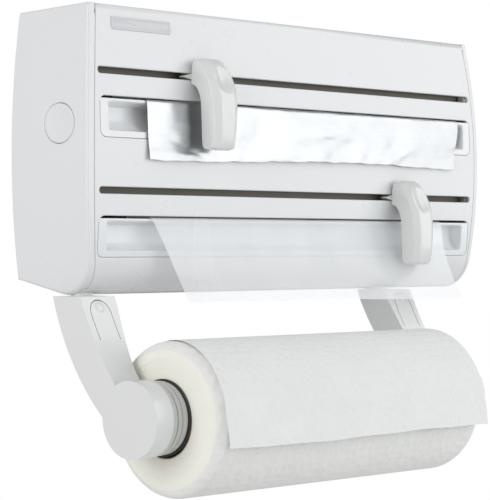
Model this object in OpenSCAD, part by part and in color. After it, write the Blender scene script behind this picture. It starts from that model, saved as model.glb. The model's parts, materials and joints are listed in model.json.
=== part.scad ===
// Wall-mounted three-roll dispenser: foil and cling film behind a hinged front
// cover with sliding cutters, and a kitchen towel roll on two arms underneath.
// Origin: midway between the two wall holes, on the wall. +X right, +Y into the
// wall, +Z up. Millimetres.

/* [Body] */
// Width across the bulged ends
body_w = 379; // [377:1:384]
// Depth from the wall to the front at its deepest
body_d = 61; // [60.5:0.5:63]
// Height from the lowest point to the top front edge
body_h = 168.5; // [168:0.5:170]
// Depth of the wall holes below the top front edge
hole_drop = 16.5; // [16:0.5:18]
// Distance between the wall holes
hole_gap = 240; // [160:10:300]
// Wall thickness of the mouldings
wall = 2.5; // [2.2:0.1:2.7]

/* [Rows] */
// Upper cutter slot below the top front edge
slot_drop = 38.9; // [38:0.1:39.4]
// Height between the two rows
row_pitch = 69.2; // [69:0.1:69.5]
// Length of the cutter slots
slot_l = 350; // [346:1:350]
// Height of the cutter slots
slot_h = 4; // [3.8:0.1:4.4]
// Window top edge below its slot
window_drop = 14.7; // [14.4:0.1:15]
// Height of the windows
window_h = 24; // [23:0.5:24]

/* [Cutters] */
// Width of a cutter knob
knob_w = 22; // [20:1:24]
// Height of a cutter knob
knob_h = 55; // [52:1:56]
// Place of the upper cutter along its slot
upper_cutter_x = -89; // [-110:1:-60]
// Place of the lower cutter along its slot
lower_cutter_x = 99; // [60:1:110]

/* [Rolls] */
// Length of the foil roll
foil_l = 300; // [290:1:304]
// Radius of the foil roll
foil_r = 20; // [18:0.5:20.5]
// Length of the film roll
film_l = 280; // [270:1:300]
// Radius of the film roll
film_r = 21.5; // [19:0.5:22]
// Length of the towel roll
towel_l = 238; // [230:1:240]
// Radius of the towel roll
towel_r = 44.9; // [40:0.1:50]

/* [Arms] */
// Width of an arm at the top
arm_w = 27; // [26:0.5:28]
// Radius of an arm's hub
hub_r = 22; // [21.5:0.1:22.5]
// Distance from the wall to the towel roll's axis
towel_y = 97.5; // [96.5:0.5:98.5]
// Distance from the wall holes down to the towel roll's axis
towel_drop = 220.7; // [220:0.1:221.5]
// Outer face of the right arm at rest
right_arm_x = 113; // [111:1:122]

/* [Hidden] */
$fn = 96;

// Side outline of the body, in Y and Z
top_z = hole_drop;
top_rear_z = top_z - 3.1;
bottom_z = top_z - body_h;
front_r = 560;
front_y = front_r - body_d;
front_z = top_z - 85.5;
end_r = 530;
end_taper = atan(5 / 58);
seam_g = 9.9;
corner_r = 21;
corner_z = bottom_z + corner_r;
corner_y = front_y - sqrt((front_r - corner_r) ^ 2 - (corner_z - front_z) ^ 2);
corner_ray = [corner_y - front_y, corner_z - front_z] / (front_r - corner_r);
bottom_slope = 14;
split_z = top_z - 86.5;

// Lengthwise planes
cap_x = body_w / 2 - 13.5;
seam = 0.3;
rib_t = 2;
bracket_x = cap_x - 0.2;
bracket_t = 2.6;

// Hinge bead along the top of the cover
bead_r = 3.2;
bead_z = top_z - bead_r - 0.12;
bead_y = front_y - sqrt(front_r ^ 2 - (bead_z - front_z) ^ 2) + bead_r;
pin_r = 1.5;
bead_end = body_w / 2 - seam_g - end_r + sqrt(end_r ^ 2 - (bead_z - front_z) ^ 2);
pin_reach = 3.6;

// Rows: cutter slot, window and roll
slot_z = [top_z - slot_drop, top_z - slot_drop - row_pitch];
window_z = [slot_z[0] - window_drop, slot_z[1] - window_drop];
roll_y = -25.2;
roll_z = [slot_z[0] - 9.6, slot_z[1] - 9.6];
slit_h = 1.5;
tail_drop = 0.95;
tray_back = 11.5;
cutter_x = [upper_cutter_x, lower_cutter_x];
shank_w = 31;
blade_w = 16;
blade_t = 0.6;
blade_y = 3.2;
stub_r = 4;
running = 0.05;
mouth_pinch = 0.3;

// Buttons
button_y = -38;
button_z = top_z - 69.5;
button_r = 11.5;
button_travel = 2.5;
dish_r = 10.4;
dish_depth = 0.9;
stem_r = 3.5;
head_l = 4.6;
spring_seat = 2.3;
hook_x = -bracket_x + bracket_t + 0.8;
hook_t = 1.8;
tooth_h = 4;

// Cap screws, in Y and Z
screw_at = [[-14, top_z - 26.5], [-14, bottom_z + 17]];
screw_r = 1.4;
screw_l = 3.4;

// Underside rail and arms
rail_y = -40;
rail_front = -46.8;
rail_rear = -28;
neck_w = 6;
tee_w = 10.8;
tee_z = bottom_z + 4;
tee_h = 6;
arm_x = -body_w / 2 + 2.5;
arm_top_z = bottom_z - 0.6;
arm_back = [-174.2, top_z - 129.35, 145.9];
arm_front = [-271.4, top_z - 76.6, 233.6];
axis_y = -towel_y;
axis_z = -towel_drop;
hub_l = 13;
collar_l = 12;
ring_l = 1.4;
sleeve_l = 24;
sleeve_r = 19.8;
axle_r = 3;
towel_x = arm_x + arm_w + 0.2;
core_r = 22.5;
roll_axis_z = axis_z - (core_r - 1 - sleeve_r - running);
latch_w = 15;
latch_t = 2.2;
latch_top = arm_top_z - 2.4;
latch_bottom = arm_top_z - 25;
mirror_x = right_arm_x + arm_x;

// Colours
shell_white = [0.93, 0.93, 0.94];
arm_white = [0.86, 0.86, 0.84];
steel = [0.7, 0.71, 0.73];
card = [0.72, 0.6, 0.45];

function face_y(z) = front_y - sqrt(front_r ^ 2 - (z - front_z) ^ 2);
function top_line(y) = top_rear_z - y * (top_z - top_rear_z) / 54.8;
function half_w(z) = body_w / 2 - end_r + sqrt(end_r ^ 2 - (z - front_z) ^ 2);
function polar(r, a) = r * [cos(a), sin(a)];
function arc(c, r, a0, a1, n) = [for (i = [0:n]) c + polar(r, a0 + (a1 - a0) * i / n)];

// Extrudes a Y-Z outline from x0 to x1
module along_x(x0, x1) {
    translate([x0, 0, 0]) rotate([90, 0, 90]) linear_extrude(x1 - x0) children();
}

// Rectangle in Y and Z
module yz_rect(y0, y1, z0, z1) {
    translate([y0, z0]) square([y1 - y0, z1 - z0]);
}

// Cylinder along X
module rod(x0, x1, r, y, z) {
    along_x(x0, x1) translate([y, z]) circle(r = r);
}

// Side outline of the body, inset by g
module section(g = 0) {
    touch = [corner_y + (corner_r - g) * sin(bottom_slope), corner_z - (corner_r - g) * cos(bottom_slope)];
    corner = [corner_y, corner_z];
    intersection() {
        translate([front_y, front_z]) circle(r = front_r - g, $fn = 720);
        union() {
            polygon([
                [-g, top_line(-g) - g],
                [-body_d - 10, top_line(-body_d - 10) - g],
                corner + 40 * corner_ray,
                corner,
                touch,
                [-g, touch[1] + (-g - touch[0]) * tan(bottom_slope)]
            ]);
            translate(corner) circle(r = corner_r - g);
        }
    }
}

// Everything inside the bulged left end, which leans in towards the front, inset by g
module left_bulge(g = 0) {
    translate([-body_w / 2, 0, front_z]) rotate([0, 0, end_taper]) translate([end_r, 0, 0]) rotate([90, 0, 0])
        cylinder(r = end_r - g, h = 4 * body_d, center = true, $fn = 512);
}

// Everything between the curved seams of the cover, inset by g
module between_seams(g = 0) {
    intersection_for(s = [-1, 1]) {
        translate([s * (body_w / 2 - end_r), 0, front_z]) rotate([90, 0, 0])
            cylinder(r = end_r - seam_g - g, h = 4 * body_d, center = true, $fn = 512);
    }
}

// Copies a left-hand piece to the right-hand end
module right_hand() {
    mirror([1, 0, 0]) children();
}

// Puts an arm piece in the right arm's place
module right_arm_place() {
    translate([mirror_x, 0, 0]) mirror([1, 0, 0]) children();
}

// Outline in X and Z with rounded corners, cut through Y
module xz_slot(x, z0, z1, r, y0, y1) {
    translate([0, y1, 0]) rotate([90, 0, 0]) linear_extrude(y1 - y0) {
        translate([-x, z0 + r]) square([2 * x, z1 - z0 - 2 * r]);
        translate([-x + r, z0]) square([2 * x - 2 * r, z1 - z0]);
        for (cx = [-x + r, x - r]) {
            for (cz = [z0 + r, z1 - r]) {
                translate([cx, cz]) circle(r = r);
            }
        }
    }
}

// ---- Housing ----
module back_shell() {
    color(shell_white) difference() {
        along_x(-cap_x, cap_x) difference() {
            intersection() {
                section();
                union() {
                    yz_rect(bead_y + bead_r + 0.5, 0, split_z, top_z + 5);
                    yz_rect(rail_rear, 0, bottom_z - 5, split_z);
                }
            }
            section(wall);
        }
        for (x = [-hole_gap / 2, hole_gap / 2]) {
            translate([x, 5, 0]) rotate([90, 0, 0]) cylinder(r = 2.5, h = 20);
        }
    }
}

module left_end_cap() {
    color(shell_white) {
        difference() {
            intersection() {
                along_x(-body_w / 2 - 1, -bead_end + 10) section();
                left_bulge();
            }
            along_x(-cap_x, 0) union() {
                yz_rect(bead_y + bead_r + 0.35, 5, split_z, top_z + 5);
                yz_rect(rail_front - 0.15, 5, bottom_z - 5, split_z + 1);
            }
            between_seams();
            intersection() {
                along_x(-body_w / 2 - 1, 0) section(wall);
                left_bulge(wall);
            }
            rod(-body_w, 0, button_r + 0.35, button_y, button_z);
            rod(-bead_end - pin_reach, -bead_end + 1, pin_r, bead_y, bead_z);
            along_x(-bead_end - 0.8, 0) yz_rect(-body_d - 5, bead_y + bead_r + 0.35, bead_z - 3, top_z + 5);
        }
        difference() {
            intersection() {
                union() {
                    for (p = screw_at) {
                        rod(-body_w / 2, -cap_x, 3.5, p[0], p[1]);
                    }
                    rod(-body_w / 2, -bead_end - 0.05, bead_r - 0.2, bead_y, bead_z);
                }
                along_x(-body_w / 2, 0) section(0.5);
                left_bulge(0.5);
            }
            rod(-bead_end - pin_reach, -bead_end + 1, pin_r, bead_y, bead_z);
            for (p = screw_at) {
                rod(-cap_x - screw_l, -cap_x + 1, screw_r, p[0], p[1]);
            }
        }
    }
}

module right_end_cap() {
    right_hand() left_end_cap();
}

module bottom_rail() {
    color(shell_white) along_x(-cap_x, cap_x) difference() {
        intersection() {
            section();
            yz_rect(rail_front, rail_rear, bottom_z - 1, tee_z + tee_h + 3);
        }
        yz_rect(rail_y - neck_w / 2, rail_y + neck_w / 2, bottom_z - 1, tee_z + 1);
        yz_rect(rail_y - tee_w / 2, rail_y + tee_w / 2, tee_z, tee_z + tee_h);
    }
}

module left_roll_bracket() {
    color([0.8, 0.8, 0.82]) along_x(-bracket_x, -bracket_x + bracket_t) difference() {
        intersection() {
            section(wall);
            yz_rect(-44, 0, tee_z + tee_h + 3.2, top_z);
        }
        for (z = roll_z) {
            translate([roll_y, z]) {
                circle(r = stub_r + running);
                rotate(-20) yz_rect(-40, 0, -stub_r + mouth_pinch, stub_r - mouth_pinch);
            }
        }
        translate([button_y, button_z]) circle(r = stem_r + 0.3);
        for (p = screw_at) {
            translate(p) circle(r = 1.6);
        }
    }
}

module right_roll_bracket() {
    right_hand() left_roll_bracket();
}

module left_screws() {
    inner = -bracket_x + bracket_t;
    for (p = screw_at) {
        difference() {
            union() {
                rod(-cap_x - screw_l, inner + 0.5, screw_r, p[0], p[1]);
                rod(inner, inner + 2, 3, p[0], p[1]);
            }
            along_x(inner + 1, inner + 3) translate(p) square([4, 0.8], center = true);
            along_x(inner + 1, inner + 3) translate(p) square([0.8, 4], center = true);
        }
    }
}

module housing_screws() {
    color(steel) {
        left_screws();
        right_hand() left_screws();
    }
}

module hinge_pins() {
    color(steel) for (s = [-1, 1]) {
        scale([s, 1, 1]) rod(bead_end - 9, bead_end + pin_reach, pin_r, bead_y, bead_z);
    }
}

// ---- Buttons ----
module left_button() {
    face_x = -half_w(button_z) - button_y * tan(end_taper);
    dish = [for (i = [0:8]) [dish_r * i / 8, dish_depth * (1 - (i / 8) ^ 2)]];
    color(shell_white) {
        translate([face_x, button_y, button_z]) rotate([0, 0, end_taper]) rotate([0, 90, 0])
            rotate_extrude() polygon(concat(
                dish,
                [
                    [button_r - 0.4, 0],
                    [button_r, 0.4],
                    [button_r, 3.2],
                    [button_r + 1.2, 3.2],
                    [button_r + 1.2, head_l],
                    [stem_r + 2.8, head_l],
                    [stem_r + 2.8, spring_seat],
                    [0, spring_seat]
                ]
            ));
        rod(face_x + spring_seat - 0.6, hook_x, stem_r, button_y, button_z);
        rod(hook_x - 1, hook_x + hook_t + 0.4, stem_r - 1, button_y, button_z);
    }
}

module right_button() {
    right_hand() left_button();
}

module left_latch_hook() {
    color([0.8, 0.8, 0.82]) {
        along_x(hook_x, hook_x + hook_t) difference() {
            union() {
                translate([button_y, button_z]) circle(r = stem_r + 2);
                yz_rect(-55, button_y, button_z - tooth_h / 2, button_z + tooth_h / 2);
            }
            translate([button_y, button_z]) circle(r = stem_r - 1);
        }
        along_x(-half_w(button_z) + seam_g + seam + 0.4, hook_x)
            yz_rect(-55, -51.5, button_z - tooth_h / 2, button_z + tooth_h / 2);
    }
}

module right_latch_hook() {
    right_hand() left_latch_hook();
}

// One coil spring along X, wound as a polyhedron tube
module coil(x0, x1, r, wire, turns) {
    steps = 16 * turns;
    sides = 6;
    pitch = (x1 - x0 - 2 * wire) / turns;
    ring = [
        for (i = [0:steps]) let (a = 360 * i / 16, x = x0 + wire + pitch * i / 16)
            for (k = [0:sides - 1]) let (b = 360 * k / sides, rr = r + wire * cos(b))
                [x + wire * sin(b), rr * cos(a), rr * sin(a)]
    ];
    skin = [
        for (i = [0:steps - 1])
            for (k = [0:sides - 1]) let (n = (k + 1) % sides)
                [i * sides + k, i * sides + n, (i + 1) * sides + n, (i + 1) * sides + k]
    ];
    first = [for (k = [0:sides - 1]) sides - 1 - k];
    last = [for (k = [0:sides - 1]) steps * sides + k];
    polyhedron(ring, concat([first], skin, [last]));
}

module left_button_spring() {
    color(steel) translate([0, button_y, button_z])
        coil(-half_w(button_z) - button_y * tan(end_taper) + spring_seat + 0.5, -bracket_x - 0.2,
            stem_r + 1.3, 0.4, 3);
}

module right_button_spring() {
    right_hand() left_button_spring();
}

// ---- Front cover ----
module cover_outline(g) {
    intersection() {
        section(g);
        union() {
            yz_rect(-body_d - 1, bead_y, corner_z, bead_z);
            yz_rect(-body_d - 1, rail_front - 0.3, bottom_z - 1, corner_z + 1);
        }
    }
}

module front_cover() {
    color(shell_white) difference() {
        intersection() {
            union() {
                along_x(-body_w / 2, body_w / 2) difference() {
                    cover_outline(0);
                    section(wall);
                }
                rod(-body_w / 2, body_w / 2, bead_r, bead_y, bead_z);
                difference() {
                    along_x(-body_w / 2, body_w / 2) intersection() {
                        section(wall - 0.2);
                        union() {
                            yz_rect(-body_d, rail_front - 0.3, corner_z - 8, bead_z - 8);
                            yz_rect(-body_d, bead_y, bead_z - 9, bead_z);
                        }
                    }
                    between_seams(seam + rib_t);
                }
            }
            between_seams(seam);
        }
        for (z = slot_z) {
            xz_slot(slot_l / 2, z - slot_h / 2, z + slot_h / 2, slot_h / 2 - 0.01, -body_d - 5, -48);
        }
        for (z = window_z) {
            xz_slot(slot_l / 2 - 0.5, z - window_h, z, 4.5, -body_d - 5, -48);
        }
        for (s = [-1, 1]) {
            scale([s, 1, 1]) {
                rod(bead_end - 9.5, bead_end + 1, pin_r + running, bead_y, bead_z);
                along_x(half_w(button_z) - seam_g - 6, body_w / 2) {
                    yz_rect(-55.6, -44, button_z - 3, button_z + 3);
                    translate([button_y, button_z]) circle(r = button_r + 2);
                }
            }
        }
    }
}

// Window insert: border flush with the front, round-backed recess, open slit above it
module tray(i) {
    top = window_z[i] - slit_h;
    bottom = window_z[i] - window_h;
    back = face_y(top) + tray_back;
    color([0.95, 0.95, 0.96]) difference() {
        union() {
            intersection() {
                along_x(-slot_l / 2, slot_l / 2) intersection() {
                    section(0.2);
                    yz_rect(-body_d, face_y(top) + 5, bottom, top);
                }
                xz_slot(slot_l / 2 - 0.7, bottom + 0.2, window_z[i] - 0.2, 4.3, -body_d - 5, -40);
            }
            intersection() {
                along_x(-slot_l / 2, slot_l / 2) intersection() {
                    section(wall);
                    yz_rect(-body_d, back, bottom - 3.5, top);
                }
                between_seams(seam + rib_t + 0.1);
            }
        }
        rod(-slot_l / 2 + 7, slot_l / 2 - 7, 9.3, face_y(top) - 0.2, top - 10.3);
        for (s = [-1, 1]) {
            scale([s, 1, 1]) along_x(-hook_x - hook_t - button_travel - 0.4, slot_l / 2 + 1)
                yz_rect(-56.5, back + 1, button_z - tooth_h, button_z + tooth_h);
        }
    }
}

module upper_tray() {
    tray(0);
}

module lower_tray() {
    tray(1);
}

module name_plate() {
    plate_z = top_z - 15;
    color([0.85, 0.86, 0.88]) along_x(-162, -114) intersection() {
        difference() {
            section(-0.8);
            section();
        }
        yz_rect(-body_d - 2, -40, plate_z, plate_z + 8);
    }
}

module cutter_rail(i) {
    inner = face_y(slot_z[i]) + wall;
    z = slot_z[i];
    color([0.75, 0.76, 0.78]) along_x(-slot_l / 2 + 1, slot_l / 2 - 1) difference() {
        intersection() {
            section(wall);
            yz_rect(-body_d, inner + 8, z - 7.3, z + 7.3);
        }
        yz_rect(inner + 1.4, inner + 6.8, z - 5.3, z + 5.3);
        yz_rect(-body_d, inner + 2, z - slot_h / 2, z + slot_h / 2);
    }
}

module upper_cutter_rail() {
    cutter_rail(0);
}

module lower_cutter_rail() {
    cutter_rail(1);
}

// ---- Cutters ----
// Side outline of a knob: Y from the front face, Z from the slot
module knob_outline() {
    low = 10.8 - knob_h;
    polygon(concat(
        [[-0.6, -4.6], [-0.6, 9]],
        arc([-3.4, 8.4], 2.8, 40, 90, 4),
        arc([-6.4, 3], 8.2, 90, 125, 5),
        [[-14.8, 3.6], [-18.8, -3.4]],
        arc([37.8, -24], 60, 166, 190, 12),
        arc([-17.4, low + 3.2], 3.2, 200, 270, 5),
        arc([-11.4, low + 3.2], 3.2, 270, 360, 6),
        arc([-2.2, -10.6], 6, 180, 90, 6)
    ));
}

module cutter_knob(i) {
    face = face_y(slot_z[i]);
    color([0.92, 0.93, 0.93]) translate([cutter_x[i], face, slot_z[i]]) {
        difference() {
            along_x(-knob_w / 2, knob_w / 2) knob_outline();
            along_x(-blade_w / 2, blade_w / 2) yz_rect(-blade_y - blade_t, -blade_y, -5, -1.5);
        }
        translate([0, wall + 2.2, 0]) rotate([90, 0, 0]) linear_extrude(wall + 3) polygon([
            [-shank_w / 2, -0.6], [-knob_w / 2, -1.7], [knob_w / 2, -1.7], [shank_w / 2, -0.6],
            [shank_w / 2, 0.6], [knob_w / 2, 1.7], [-knob_w / 2, 1.7], [-shank_w / 2, 0.6]
        ]);
    }
}

module upper_cutter_knob() {
    cutter_knob(0);
}

module lower_cutter_knob() {
    cutter_knob(1);
}

module cutter_blade(i) {
    face = face_y(slot_z[i]);
    half = blade_w / 2;
    color(steel) translate([cutter_x[i], face - blade_y, slot_z[i]]) rotate([90, 0, 0])
        linear_extrude(blade_t) polygon([[-half, -1.5], [half, -1.5], [half, -7.5], [0, -12], [-half, -7.5]]);
}

module upper_cutter_blade() {
    cutter_blade(0);
}

module lower_cutter_blade() {
    cutter_blade(1);
}

module cutter_slider(i) {
    inner = face_y(slot_z[i]) + wall;
    color([0.6, 0.62, 0.65]) along_x(cutter_x[i] - 9, cutter_x[i] + 9)
        yz_rect(inner + 2.2, inner + 6.4, slot_z[i] - 4.9, slot_z[i] + 4.9);
}

module upper_cutter_slider() {
    cutter_slider(0);
}

module lower_cutter_slider() {
    cutter_slider(1);
}

// ---- Loose sheet ends ----
module strip(x0, x1, t, pts) {
    n = len(pts);
    back = [for (i = [0:n - 1]) pts[n - 1 - i] + [t, 0]];
    along_x(x0, x1) polygon(concat(pts, back));
}

module foil_tail() {
    z = window_z[0] - tail_drop;
    y = face_y(z);
    color([0.8, 0.81, 0.83]) {
        strip(-138, 160, 0.5, [[y - 1.2, z + 0.5], [y - 1.3, z - 22], [y - 3.2, z - 35]]);
        along_x(-138, 160) yz_rect(y - 1, y + 9, z, z + 0.5);
    }
}

module film_tail() {
    z = window_z[1] - tail_drop;
    y = face_y(z);
    color([0.85, 0.9, 0.92, 0.5]) {
        strip(-136, 142, 0.5, [
            [y - 1.2, z + 0.5], [y - 2, z - 14], [y - 5.4, z - 28], [y - 12, z - 39], [y - 20, z - 49.3]
        ]);
        along_x(-136, 142) yz_rect(y - 1, y + 9, z, z + 0.5);
    }
}

// ---- Foil and film rolls ----
module roll_core(l, r, z) {
    color(card) along_x(-l / 2, l / 2) translate([roll_y, z]) difference() {
        circle(r = r);
        circle(r = r - 1.4);
    }
}

module roll_winding(l, r, inner, z) {
    along_x(-l / 2, l / 2) translate([roll_y, z]) difference() {
        circle(r = r);
        circle(r = inner);
    }
}

module roll_plug(l, r, z) {
    end = -l / 2;
    color([0.8, 0.8, 0.82]) difference() {
        union() {
            rod(end - 2.5, end, r + 1.5, roll_y, z);
            rod(end - 0.5, end + 14, r - 1.4, roll_y, z);
            rod(-bracket_x + 0.2, end, stub_r, roll_y, z);
            rod(-bracket_x + bracket_t + 0.6, end, stub_r + 2, roll_y, z);
        }
        rod(end + 1.5, end + 15, r - 3.4, roll_y, z);
    }
}

module foil_core() {
    roll_core(foil_l, 14.5, roll_z[0]);
}

module foil_winding() {
    color([0.78, 0.79, 0.81]) roll_winding(foil_l, foil_r, 14.5, roll_z[0]);
}

module foil_left_plug() {
    roll_plug(foil_l, 14.5, roll_z[0]);
}

module foil_right_plug() {
    right_hand() foil_left_plug();
}

module film_core() {
    roll_core(film_l, 15.5, roll_z[1]);
}

module film_winding() {
    color([0.8, 0.86, 0.9]) roll_winding(film_l, film_r, 15.5, roll_z[1]);
}

module film_left_plug() {
    roll_plug(film_l, 15.5, roll_z[1]);
}

module film_right_plug() {
    right_hand() film_left_plug();
}

// ---- Towel arms ----
module arm_outline() {
    intersection() {
        difference() {
            translate([arm_back[0], arm_back[1]]) circle(r = arm_back[2], $fn = 256);
            translate([arm_front[0], arm_front[1]]) circle(r = arm_front[2], $fn = 256);
        }
        yz_rect(-100, 0, axis_z, arm_top_z);
    }
    translate([axis_y, axis_z]) circle(r = hub_r);
}

// Ring that follows the arm's front face, between two depths and two heights
module arm_front_band(d0, d1, z0, z1) {
    intersection() {
        translate([arm_front[0], arm_front[1]]) difference() {
            circle(r = arm_front[2] + d1, $fn = 256);
            circle(r = arm_front[2] + d0, $fn = 256);
        }
        yz_rect(-90, 0, z0, z1);
    }
}

// Round-topped tongue outline, grown by g
module tongue_block(g) {
    x = arm_x + arm_w / 2 - 1;
    r = latch_w / 2 + g;
    translate([x, 0, latch_top - latch_w / 2]) rotate([90, 0, 0]) cylinder(r = r, h = 90);
    translate([x - r, -90, latch_bottom - 10]) cube([2 * r, 90, latch_top - latch_w / 2 - latch_bottom + 10]);
}

module left_arm() {
    hub_end = arm_x + hub_l;
    color(arm_white) difference() {
        union() {
            intersection() {
                along_x(arm_x, arm_x + arm_w) arm_outline();
                rotate([90, 0, 0]) linear_extrude(200) polygon([
                    [arm_x, 0],
                    [arm_x, axis_z - 50],
                    [arm_x + arm_w - 6, axis_z - 50],
                    [arm_x + arm_w - 6, arm_top_z - 40],
                    [arm_x + arm_w, arm_top_z - 6],
                    [arm_x + arm_w, 0]
                ]);
            }
            along_x(arm_x + 11, arm_x + 23) {
                yz_rect(rail_y - neck_w / 2 + 0.3, rail_y + neck_w / 2 - 0.3, arm_top_z - 1, tee_z + 2);
                yz_rect(rail_y - tee_w / 2 + 0.4, rail_y + tee_w / 2 - 0.4, tee_z + 0.3, tee_z + tee_h - 0.5);
            }
        }
        rod(hub_end, arm_x + arm_w + 1, hub_r + 0.8, axis_y, axis_z);
        rod(arm_x + 4, hub_end + 1, axle_r, axis_y, axis_z);
        intersection() {
            along_x(arm_x, arm_x + arm_w) arm_front_band(-3, 7, latch_bottom - 0.4, arm_top_z - 1);
            tongue_block(0.6);
        }
    }
}

module right_arm() {
    right_arm_place() left_arm();
}

module left_arm_latch() {
    dot_z = latch_top - 5.5;
    dot_y = arm_front[0] + sqrt(arm_front[2] ^ 2 - (dot_z - arm_front[1]) ^ 2);
    color(arm_white) {
        intersection() {
            along_x(arm_x, arm_x + arm_w) arm_front_band(0, latch_t, latch_bottom, latch_top);
            tongue_block(0);
        }
        intersection() {
            translate([arm_x + arm_w / 2 - 1, dot_y + 5.2, dot_z]) sphere(r = 6);
            along_x(arm_x, arm_x + arm_w) arm_front_band(-2, latch_t, latch_bottom, latch_top);
        }
    }
}

module right_arm_latch() {
    right_arm_place() left_arm_latch();
}

module left_axle() {
    color(steel) difference() {
        rod(arm_x + 4, towel_x + sleeve_l - 4, axle_r, axis_y, axis_z);
        along_x(towel_x + sleeve_l - 7, towel_x + sleeve_l - 6) translate([axis_y, axis_z]) difference() {
            circle(r = axle_r + 1);
            circle(r = axle_r - 0.6);
        }
    }
}

module right_axle() {
    right_arm_place() left_axle();
}

module left_axle_clip() {
    color([0.3, 0.3, 0.32]) along_x(towel_x + sleeve_l - 7, towel_x + sleeve_l - 6)
        translate([axis_y, axis_z]) difference() {
            circle(r = axle_r + 2.2);
            circle(r = axle_r - 0.6);
            translate([-1.5, -10]) square([3, 10]);
        }
}

module right_axle_clip() {
    right_arm_place() left_axle_clip();
}

module left_roll_plug() {
    start = arm_x + hub_l + 0.4;
    end = start + collar_l;
    step = collar_l / 3;
    color([0.8, 0.8, 0.78]) difference() {
        union() {
            for (i = [0:2]) {
                rod(start + i * step, start + i * step + step * 0.75, hub_r - 0.5 - 0.3 * i, axis_y, axis_z);
            }
            rod(start, end, hub_r - 1.4, axis_y, axis_z);
            rod(end - 1, towel_x + sleeve_l, sleeve_r, axis_y, axis_z);
        }
        rod(start - 1, towel_x + sleeve_l + 1, axle_r + running, axis_y, axis_z);
        along_x(start + 3, towel_x + sleeve_l + 1) translate([axis_y, axis_z]) difference() {
            circle(r = sleeve_r - 2);
            circle(r = axle_r + 3);
        }
        rod(towel_x + sleeve_l - 7.5, towel_x + sleeve_l + 1, axle_r + 3.5, axis_y, axis_z);
    }
}

module right_roll_plug() {
    right_arm_place() left_roll_plug();
}

module left_plug_ring() {
    end = arm_x + hub_l + 0.4 + collar_l;
    color([0.06, 0.06, 0.06]) along_x(end, end + ring_l) translate([axis_y, axis_z]) difference() {
        circle(r = hub_r + 0.3);
        circle(r = sleeve_r);
    }
}

module right_plug_ring() {
    right_arm_place() left_plug_ring();
}

// ---- Towel roll ----
module towel_core() {
    color(card) along_x(towel_x, towel_x + towel_l) translate([axis_y, roll_axis_z]) difference() {
        circle(r = core_r);
        circle(r = core_r - 1);
    }
}

module towel_winding() {
    color([0.9, 0.9, 0.87]) along_x(towel_x, towel_x + towel_l)
        translate([axis_y, roll_axis_z]) difference() {
        circle(r = towel_r);
        circle(r = core_r);
    }
}

module towel_tail() {
    gap = 0.5;
    t = 0.6;
    r = towel_r + gap;
    leave = 170;
    tip = polar(r, leave) + 23 * [-sin(leave), cos(leave)];
    color([0.93, 0.93, 0.93]) along_x(towel_x + 1, towel_x + towel_l) translate([axis_y, roll_axis_z])
        polygon(concat(
            arc([0, 0], r, 78, leave, 16),
            [tip + [t, 0], tip],
            arc([0, 0], r + t, leave, 78, 16)
        ));
}

back_shell();
left_end_cap();
right_end_cap();
bottom_rail();
left_roll_bracket();
right_roll_bracket();
housing_screws();
hinge_pins();
left_button();
right_button();
left_latch_hook();
right_latch_hook();
left_button_spring();
right_button_spring();
front_cover();
upper_tray();
lower_tray();
name_plate();
upper_cutter_rail();
lower_cutter_rail();
upper_cutter_knob();
upper_cutter_blade();
upper_cutter_slider();
lower_cutter_knob();
lower_cutter_blade();
lower_cutter_slider();
foil_tail();
film_tail();
foil_core();
foil_winding();
foil_left_plug();
foil_right_plug();
film_core();
film_winding();
film_left_plug();
film_right_plug();
left_arm();
right_arm();
left_arm_latch();
right_arm_latch();
left_axle();
right_axle();
left_axle_clip();
right_axle_clip();
left_roll_plug();
right_roll_plug();
left_plug_ring();
right_plug_ring();
towel_core();
towel_winding();
towel_tail();
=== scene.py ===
"""Wall dispenser for foil, cling film and kitchen towel: looks, camera and light.

Everything is worked out in millimetres in the shared frame (+X right, +Y into the
wall, +Z up, origin midway between the wall holes) and scaled to metres on building.
"""

import json
import math

import bmesh
import bpy
import numpy as np
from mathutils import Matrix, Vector
from mathutils.geometry import delaunay_2d_cdt


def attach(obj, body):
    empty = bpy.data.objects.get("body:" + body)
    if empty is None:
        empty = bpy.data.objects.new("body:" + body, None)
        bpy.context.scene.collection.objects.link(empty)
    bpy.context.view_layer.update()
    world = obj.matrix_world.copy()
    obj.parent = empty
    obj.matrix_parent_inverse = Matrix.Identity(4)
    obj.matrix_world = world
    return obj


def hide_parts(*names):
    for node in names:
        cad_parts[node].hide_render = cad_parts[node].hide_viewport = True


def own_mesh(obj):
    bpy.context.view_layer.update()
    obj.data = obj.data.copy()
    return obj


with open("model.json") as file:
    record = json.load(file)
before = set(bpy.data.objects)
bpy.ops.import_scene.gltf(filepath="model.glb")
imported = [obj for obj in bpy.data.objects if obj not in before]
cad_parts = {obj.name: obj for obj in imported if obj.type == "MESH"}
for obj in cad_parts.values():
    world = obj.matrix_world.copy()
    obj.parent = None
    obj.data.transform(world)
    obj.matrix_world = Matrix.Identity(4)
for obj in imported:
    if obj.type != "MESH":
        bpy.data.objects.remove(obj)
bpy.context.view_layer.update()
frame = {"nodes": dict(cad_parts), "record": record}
NODES = frame["nodes"]
MM = 0.001

# ------------------------------------------------------------------ dimensions
# body: height of the top at its front and at the wall, and the top's depth
TOP_Z, REAR_Z, TOP_DEPTH = 16.5, 13.4, 54.8
# front: one wide arc about (FRONT_Y, FRONT_Z)
FRONT_R, FRONT_Y, FRONT_Z = 560.0, 499.0, -69.0
# ends: bulged in height, and closer together towards the front
END_R, HALF_W = 530.0, 189.5
TAPER = math.atan(5 / 58)
SEAM_INSET, SEAM_GAP = 9.9, 0.3
# lower front corner, and the slope of the underside behind it
CORNER_R, CORNER_Z = 21.0, -131.0
CORNER_Y = FRONT_Y - math.sqrt((FRONT_R - CORNER_R) ** 2 - (CORNER_Z - FRONT_Z) ** 2)
SLOPE = math.radians(14)
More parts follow.
